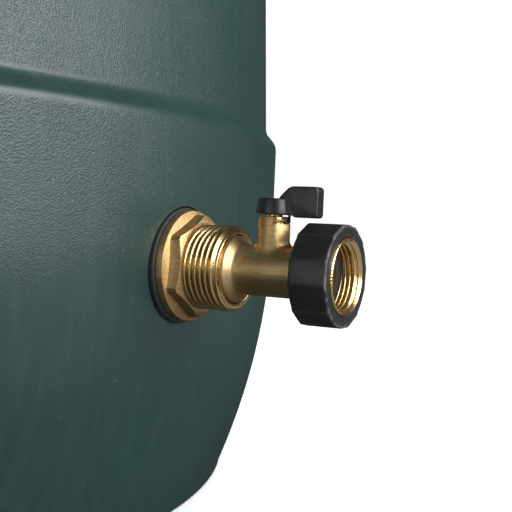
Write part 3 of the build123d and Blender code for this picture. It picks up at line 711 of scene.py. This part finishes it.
tube_outline = [
    (fitting_front + 1 * MM, waterway), (fitting_front + 1 * MM, tube_radius), (-snap_high[1], tube_radius),
    (-snap_high[1], tube_radius - snap_groove), (-snap_low[1], tube_radius - snap_groove),
    (-snap_low[1], tube_radius), (valve_front, tube_radius), (valve_front, cavity),
    (stem_reach - cavity, cavity), (stem_reach - cavity, waterway),
]
tube_outline = dense(np.array(tube_outline), 3 * MM)
make_piece("valve_tube", turned_on_tap(tube_outline, 160), "barrel", cast_brass, "valve_body",
           sharp=40)

# %% [markdown]
# The boss could be joined to the tube by a boolean, but that leaves a hard seam. Laying its foot on the
# tube by formula gives an even fillet. The notch that lets the lever turn is a lower stretch of the rim.

# %% Valve boss
boss_radius, gland_bore = 6.15 * MM, 4.95 * MM
rim_top = valve_high[2] - tap_height
notch_floor = rim_top - 2.7 * MM
blend = 3.0 * MM
notch_from, notch_to = radians(-69), radians(39)
a = angles(360)
out_x, out_y = np.sin(a), -np.cos(a)


def on_tube(radius):
    """Height of the tube's skin above the tap's line, under a circle round the stem."""
    return np.sqrt(tube_radius**2 - (radius * out_x) ** 2)


lean = (a + pi) % (2 * pi) - pi
notch = (lean < notch_to) & (lean > notch_from)
top = np.where(notch, notch_floor, rim_top)
foot = np.stack([(boss_radius + blend) + 0 * a, on_tube(boss_radius + blend)], -1)
elbow = np.stack([boss_radius + 0 * a, on_tube(boss_radius)], -1)
upright = np.stack([boss_radius + 0 * a, on_tube(boss_radius) + blend], -1)
t = np.linspace(0, 1, 9)[:, None, None]
fillet_rings = (1 - t) ** 2 * foot + 2 * t * (1 - t) * elbow + t**2 * upright
soft = 0.25 * MM
boss_rings = [np.stack([0 * a, 0 * a + 3 * MM], -1), np.stack([foot[:, 0], foot[:, 1] - 1.5 * MM], -1)]
boss_rings += list(fillet_rings)
boss_rings += [
    np.stack([boss_radius + 0 * a, top - soft], -1),
    np.stack([boss_radius - 0.3 * soft + 0 * a, top - 0.3 * soft], -1),
    np.stack([boss_radius - soft + 0 * a, top], -1), np.stack([gland_bore + soft + 0 * a, top], -1),
    np.stack([gland_bore + 0 * a, top - soft], -1), np.stack([gland_bore + 0 * a, 0 * a + 14 * MM], -1),
    np.stack([0 * a, 0 * a + 14 * MM], -1),
]
rings = np.stack(boss_rings)
boss_grid = np.stack([rings[..., 0] * out_x, -stem_reach + rings[..., 0] * out_y,
                      tap_height + rings[..., 1]], -1)
make_piece("valve_boss", boss_grid, "barrel", cast_brass, sharp=40,
           closed=False)

# %% [markdown]
# The gland nut is screwed down inside the boss. Its head shows in the notch as a bright disc, with a
# dark groove under it where the thread is relieved.

# %% Gland nut
gland_low, gland_high = span("gland_nut")
gland_foot, gland_top = gland_low[2] - tap_height, gland_high[2] - tap_height
head_radius, shank, groove, stem_hole = 5.15 * MM, 4.85 * MM, 4.3 * MM, 3.05 * MM
gland_outline = [
    (gland_foot, stem_hole), (gland_foot, shank), (notch_floor, shank), (notch_floor + 0.05 * MM, groove),
    (notch_floor + 0.6 * MM, groove), (notch_floor + 0.65 * MM, head_radius), (gland_top, head_radius),
    (gland_top, stem_hole),
]
gland_bends = np.array([0, 0.2, 0, 0, 0, 0.25, 0.4, 0.1]) * MM
gland_grid = turned_upright(rounded(gland_outline, gland_bends, 5), (0, -stem_reach), 120)
gland_grid[..., 2] += tap_height
make_piece("gland_disc", gland_grid, "barrel", turned_brass, "gland_nut",
           sharp=40)

# %% [markdown]
# ## The lever
# The lever is a black moulding: a round, slightly tapered hub over the stem, and a tall fin that rises
# from it and points along the tap when the tap is open. Seen from above, the hub is a circle joined to a
# short neck, and adding the two radii as sixth powers blends one into the other. The fin is a slab whose
# outline is drawn from the side and rounded over at both faces: rings of the outline shrink towards its
# middle as they near each face.


# %% Slab helper and lever
def rounded_slab(outline, middle, half, bevel, steps=5):
    """Rings (across, outline) of a slab: the outline pulled in by a quarter circle at each face.

    Pulling in is done by moving each outline point towards the middle by the same length.
    """
    toward = middle - outline
    toward /= np.linalg.norm(toward, axis=1)[:, None]
    t = np.linspace(0, pi / 2, steps)
    across = np.concatenate([[half], half - bevel + bevel * np.cos(t),
                             -half + bevel - bevel * np.cos(t[::-1]), [-half]])
    inward = np.concatenate([[1.0], bevel * (1 - np.sin(t)), bevel * (1 - np.sin(t[::-1])), [1.0]])
    rings = outline[None] + toward[None] * inward[:, None, None]
    rings[0] = rings[-1] = middle
    return across, rings


lever_low, lever_high = span("lever")
hub_bottom = rim_top + 0.7 * MM
hub_top = hub_bottom + 6.2 * MM
fin_bottom, fin_top = hub_bottom - 0.8 * MM, lever_high[2] - tap_height
fin_tip = -lever_low[1] - stem_reach
hub_radius = (lever_high[0] - lever_low[0]) / 2
hub_outline = [
    (0, hub_bottom), (hub_radius - 0.1 * MM, hub_bottom), (hub_radius, hub_bottom + 0.6 * MM),
    (hub_radius - 0.95 * MM, hub_top), (3.1 * MM, hub_top), (2.9 * MM, hub_top - 1.3 * MM),
    (0, hub_top - 1.3 * MM),
]
hub_outline = rounded(hub_outline, [0, 0.3 * MM, 0.3 * MM, 0.7 * MM, 0.3 * MM, 0.2 * MM, 0], 6, loop=False)
a = angles(240)
half_neck, neck_reach, blend_power = 3.1 * MM, 12 * MM, 6
dish_radius, share_over = 3.3 * MM, 2 * MM
aside, ahead = np.abs(np.sin(a)) + 1e-9, np.cos(a)
neck = np.where(ahead > 0, np.minimum(half_neck / aside, neck_reach), 0)
swell = (1 + (neck / hub_radius) ** blend_power) ** (1 / blend_power)
ring_radius, ring_height = hub_outline[:, :1], hub_outline[:, 1:]
share = np.clip((ring_radius - dish_radius) / share_over, 0, 1)
swollen = ring_radius * (1 + share * (swell - 1))
hub_grid = np.stack([swollen * np.sin(a), -stem_reach - swollen * np.cos(a),
                     tap_height + ring_height + 0 * a], -1)
make_piece("lever_hub", hub_grid, "lever", lever_black, "lever", sharp=45,
           closed=False)

fin_corners = [
    (2.4 * MM, hub_bottom + 0.9 * MM), (7.4 * MM, hub_bottom + 0.7 * MM), (9.3 * MM, fin_bottom),
    (fin_tip, fin_bottom), (fin_tip, fin_top), (7.2 * MM, fin_top), (2.4 * MM, hub_top),
]
fin_outline = dense(rounded(fin_corners, [0, 1.5 * MM, 1.5 * MM, 1.5 * MM, 1.8 * MM, 1.8 * MM, 2 * MM], 8),
                    0.6 * MM)
across, rings = rounded_slab(fin_outline, np.array([9.5 * MM, hub_bottom + 4.6 * MM]), 3.15 * MM, 0.8 * MM)
fin_grid = np.stack([across[:, None] + 0 * rings[..., 0], -stem_reach - rings[..., 0],
                     tap_height + rings[..., 1]], -1)
make_piece("lever_fin", fin_grid, "lever", lever_black, sharp=40,
           closed=False)

# %% [markdown]
# The stop tab hangs from the hub into the boss's notch and meets its ends when the tap is fully open or
# fully shut. It is a short piece of ring: a slab bent round the stem.

# %% Stop tab
tab_angle = np.linspace(radians(22), radians(38), 9)
tab_in, tab_out = 5.2 * MM, 6.1 * MM
tab_foot, tab_head = notch_floor + 0.4 * MM, hub_bottom + 0.4 * MM
tab_section = rounded([(tab_in, tab_foot), (tab_out, tab_foot), (tab_out, tab_head), (tab_in, tab_head)],
                      0.2 * MM, 3)
tab_end = tab_section.mean(0)[None, None].repeat(len(tab_section), 1)
tab_shape = np.concatenate([tab_end, np.broadcast_to(tab_section, (len(tab_angle), *tab_section.shape)),
                            tab_end])
tab_turn = np.concatenate([tab_angle[:1], tab_angle, tab_angle[-1:]])[:, None]
tab_grid = np.stack([tab_shape[..., 0] * np.sin(tab_turn),
                     -stem_reach - tab_shape[..., 0] * np.cos(tab_turn),
                     tap_height + tab_shape[..., 1]], -1)
make_piece("stop_tab", tab_grid, "lever", lever_black, sharp=50,
           closed=False)

# %% [markdown]
# ## The swivel nut
# The nut that takes the hose is a brass insert moulded into a black grip. The grip is a round collar with
# six flat pads that stand slightly proud of it. Its radius is worked out for each direction: a pad is the
# straight side of a polygon, and a short ramp leads down to the round between two pads. A paleness value
# is kept with each point, so that the finish can pale the front rim and the pads' corners: partly rubbing
# wear, partly a painted highlight on the bevelled edges.

# %% Grip
grip_low, grip_high = span("swivel_grip")
insert_low, insert_high = span("swivel_insert")
grip_back, grip_front = -grip_high[1], -grip_low[1]
insert_back, insert_front = -insert_high[1], -insert_low[1]
insert_radius = (insert_high[0] - insert_low[0]) / 2
a = angles(480)
plain_radius, pad_corner, first_pad = 19.1 * MM, 19.8 * MM, radians(-25.5)
off_pad = (a - first_pad + radians(30)) % radians(60) - radians(30)
edge_step = np.clip((np.abs(off_pad) - radians(14.6)) / radians(0.9), 0, 1)
on_pad = pad_corner * cos(radians(15)) / np.cos(np.clip(off_pad, -radians(15), radians(15)))
plain = on_pad + (plain_radius - on_pad) * edge_step
plain = np.mean([np.roll(plain, shift) for shift in range(-3, 4)], axis=0)
near_corner = np.exp(-((np.abs(off_pad) - radians(14.5)) / radians(1.2)) ** 2)
face_in, back_in = insert_radius, tube_radius + 0.9 * MM
grip_rings = [
    # reach, radius (or None for the facets), how far the facets are pulled in, wear and painted highlight
    (grip_back + 0.2 * MM, back_in, 0, 0), (grip_back, back_in + 0.2 * MM, 0, 0),
    (grip_back, None, 1.9 * MM, 0),
    (grip_back + 0.12 * MM, None, 1.2 * MM, 0.1), (grip_back + 0.5 * MM, None, 0.5 * MM, 0.1),
    (grip_back + 1.1 * MM, None, 0.1 * MM, 0), (grip_back + 1.7 * MM, None, 0.0, 0),
    (grip_front - 1.3 * MM, None, 0.0, 0), (grip_front - 0.7 * MM, None, 0.05 * MM, 0.1),
    (grip_front - 0.4 * MM, None, 0.22 * MM, 0.5), (grip_front - 0.12 * MM, None, 0.5 * MM, 0.9),
    (grip_front, None, 0.85 * MM, 0.5), (grip_front, None, 1.3 * MM, 0.05),
    (grip_front, face_in + 0.7 * MM, 0, 0.0),
    (grip_front - 0.1 * MM, face_in + 0.25 * MM, 0, 0.2), (grip_front - 0.4 * MM, face_in, 0, 0),
    (insert_back, face_in, 0, 0), (insert_back, back_in, 0, 0),
]
grip_section = np.stack([
    np.stack([np.full_like(a, reach), (plain if radius is None else np.full_like(a, radius)) - pulled], -1)
    for reach, radius, pulled, worn_and_sheen in grip_rings
])
# Paleness at the front rim and the pads' corners: rubbing wear and a painted highlight on the bevels.
wear_and_sheen = np.array([worn_and_sheen for reach, radius, pulled, worn_and_sheen in grip_rings])[:, None]
wear_and_sheen = np.clip(wear_and_sheen + 0.12 * near_corner[None, :], 0, 1)
grip_grid = around_tap(grip_section[..., 0], grip_section[..., 1], a)
make_piece("hose_grip", grip_grid, "hose_nut", grip_black, "swivel_grip",
           sharp=24, rubbed_and_sheen=wear_and_sheen)

# %% [markdown]
# The insert has teeth round its outside that show as a knurled edge, a bevelled lip, and inside it the
# finer hose thread, which winds back towards the tap. It is turned like the fitting, and here the thread
# is raised from the relieved bore instead of cut, because a hose nut's thread points inwards.

# %% Brass insert
fine_pitch, fine_depth = 1.814 * MM, 1.162 * MM
hose_bore = frame["record"]["mounts"][1]["dims"]["r_mm"] * MM
relief = hose_bore + fine_depth
thread_back = insert_back + 6.3 * MM
insert_outline = [
    (insert_back, tube_radius + 0.1 * MM), (insert_back, insert_radius - 0.3 * MM),
    (insert_front - 0.5 * MM, insert_radius - 0.3 * MM), (insert_front - 0.45 * MM, insert_radius),
    (insert_front, insert_radius - 0.55 * MM), (insert_front, relief + 0.75 * MM),
    (insert_front - 1.0 * MM, relief - 0.1 * MM), (insert_front - 1.5 * MM, relief),
    (thread_back, relief), (insert_back + 1.6 * MM, relief),
    (insert_back + 1.6 * MM, tube_radius + 0.1 * MM),
]
bends = np.array([0.2, 0.2, 0, 0.05, 0.2, 0.25, 0.1, 0, 0, 0.2, 0.1]) * MM
threaded = (relief - 0.2 * MM, relief + 0.02 * MM, 0.14 * MM)
insert_outline = dense(rounded(insert_outline, bends, 4), 4 * MM, fine=threaded)
a = angles(360)[None, :]
reach, radius = insert_outline[:, :1], insert_outline[:, 1:]
inner = (radius < relief + 0.02 * MM) & (radius > relief - 0.3 * MM)
rise = fine_depth * thread_wave(reach - 0.4 * MM, a, fine_pitch) * inner
rise = rise * run_in(reach, thread_back - 0.2 * MM, insert_front - 0.9 * MM, 0.8 * MM)
tooth_count, tooth_height = 72, 0.28 * MM
teeth = np.abs((a * tooth_count / (2 * pi)) % 1.0 * 2 - 1)
rise = rise + tooth_height * teeth * (radius > insert_radius - 0.2 * MM)
insert_grid = turned_on_tap(insert_outline, 360)
insert_grid[..., 0] -= rise * np.sin(a)
insert_grid[..., 2] -= rise * np.cos(a)
make_piece("hose_insert", insert_grid, "hose_nut", turned_brass, "swivel_insert",
           sharp=60)

# %% [markdown]
# ## Finishes on the pieces that stay as CAD
# Small pieces that are plain rings, balls and screws are already the right shape in the frame. They keep
# their meshes and take a finish in place of the plain one they came with.

# %% CAD pieces
kept = {
    "leaf_basket": basket_black, "inner_washer": rubber_black, "collar_seal": seal_black,
    "inlet_seat": ptfe_white, "outlet_seat": ptfe_white, "outlet_tail": turned_brass,
    "thrust_washer": ptfe_white, "snap_ring": bright_steel,
    "hose_washer": seal_black, "lever_screw": bright_steel, "stem": turned_brass, "stem_seals": seal_black,
    "valve_ball": chrome_ball,
}
for node, material in kept.items():
    slots = frame["nodes"][node].material_slots
    for place in slots:
        place.material = material
print("finished", len(kept), "CAD pieces")

# %% [markdown]
# ## Floor, light and camera
# A plain white floor under a broad, even top light. The top light and the floor are hidden from
# reflections, so shiny pieces mirror only four soft panels: a large one in front, which lays one broad
# highlight on the barrel and the brass, a low one lying in front of the tap, and two dimmer ones on the
# left. What is left of the room is dark in reflections, so edges stay crisp.

# %% Floor
floor_mesh = bpy.data.meshes.new("floor")
floor_mesh.from_pydata([(-9, -9, 0), (9, -9, 0), (9, 9, 0), (-9, 9, 0)], [], [(0, 1, 2, 3)])
floor = bpy.data.objects.new("floor", floor_mesh)
scene.collection.objects.link(floor)
pale = Finish("floor_white", Roughness=0.9)
speckle = pale.mix(pale.noise(3.0, 2.0), tint(0.92, 0.92, 0.92), tint(0.95, 0.95, 0.95))
floor_mesh.materials.append(pale.finish(speckle))
floor.visible_glossy = False


# %% Lights
def soft_panel(name, place, aim, width, height, brightness):
    """A rectangular light at a place, facing a point. Its power is brightness times area times pi."""
    lamp = bpy.data.lights.new(name, "AREA")
    lamp.shape, lamp.size, lamp.size_y = "RECTANGLE", width, height
    lamp.energy = brightness * width * height * pi
    holder = bpy.data.objects.new(name, lamp)
    scene.collection.objects.link(holder)
    place, aim = Vector(place), Vector(aim)
    facing = (aim - place).to_track_quat("-Z", "Y").to_matrix().to_4x4()
    holder.matrix_world = Matrix.Translation(place) @ facing
    holder.visible_camera = False
    return holder


soft_panel("front_panel", (0.0, -1.8, 0.88), (0, -0.3, 0.9), 2.1, 1.2, 8.0)
soft_panel("low_panel", (-0.2, -1.0, 0.01), (-0.2, -1.0, 1.0), 2.0, 1.15, 0.32)
soft_panel("left_panel", (-2.0, 0.2, 0.45), (0, -0.3, 0.15), 1.6, 1.0, 1.3)
soft_panel("fill_panel", (-2.0, -0.9, 0.6), (0, -0.2, 0.3), 2.4, 1.2, 0.07)

top_light = bpy.data.lights.new("top_light", "SUN")
top_light.energy, top_light.angle = 3.5, radians(100)
top_holder = bpy.data.objects.new("top_light", top_light)
scene.collection.objects.link(top_holder)
top_holder.visible_glossy = False
print("lights", [lamp.name for lamp in bpy.data.lights])

world = bpy.data.worlds.new("studio")
scene.world = world
world.use_nodes = True
sky = world.node_tree
ray = sky.nodes.new("ShaderNodeLightPath")
shade = sky.nodes.new("ShaderNodeMix")
shade.data_type = "FLOAT"
room_in_reflections, backdrop = 0.055, 1.05
shade.inputs[2].default_value = room_in_reflections
shade.inputs[3].default_value = backdrop
sky.links.new(ray.outputs["Is Camera Ray"], shade.inputs[0])
sky.links.new(shade.outputs[0], sky.nodes["Background"].inputs["Strength"])
sky.nodes["Background"].inputs["Color"].default_value = (1, 1, 1, 1)

# %% Camera
camera_place = Vector((-0.32872, -0.519303, 0.135517))
look = Vector((0.880923, 0.471771, -0.037508))
right = Vector((0.473094, -0.879945, 0.043360))
up = right.cross(look)
camera_data = bpy.data.cameras.new("camera")
camera_data.sensor_width = 36
camera_data.lens = 68.4447
camera_data.clip_start = 0.01
camera = bpy.data.objects.new("camera", camera_data)
scene.collection.objects.link(camera)
turn = Matrix((right, up, -look)).transposed().to_4x4()
camera.matrix_world = Matrix.Translation(camera_place) @ turn
scene.camera = camera
scene.view_settings.view_transform = "Standard"
print("camera at", tuple(round(c, 3) for c in camera_place))

# %% Finish
bpy.context.view_layer.update()
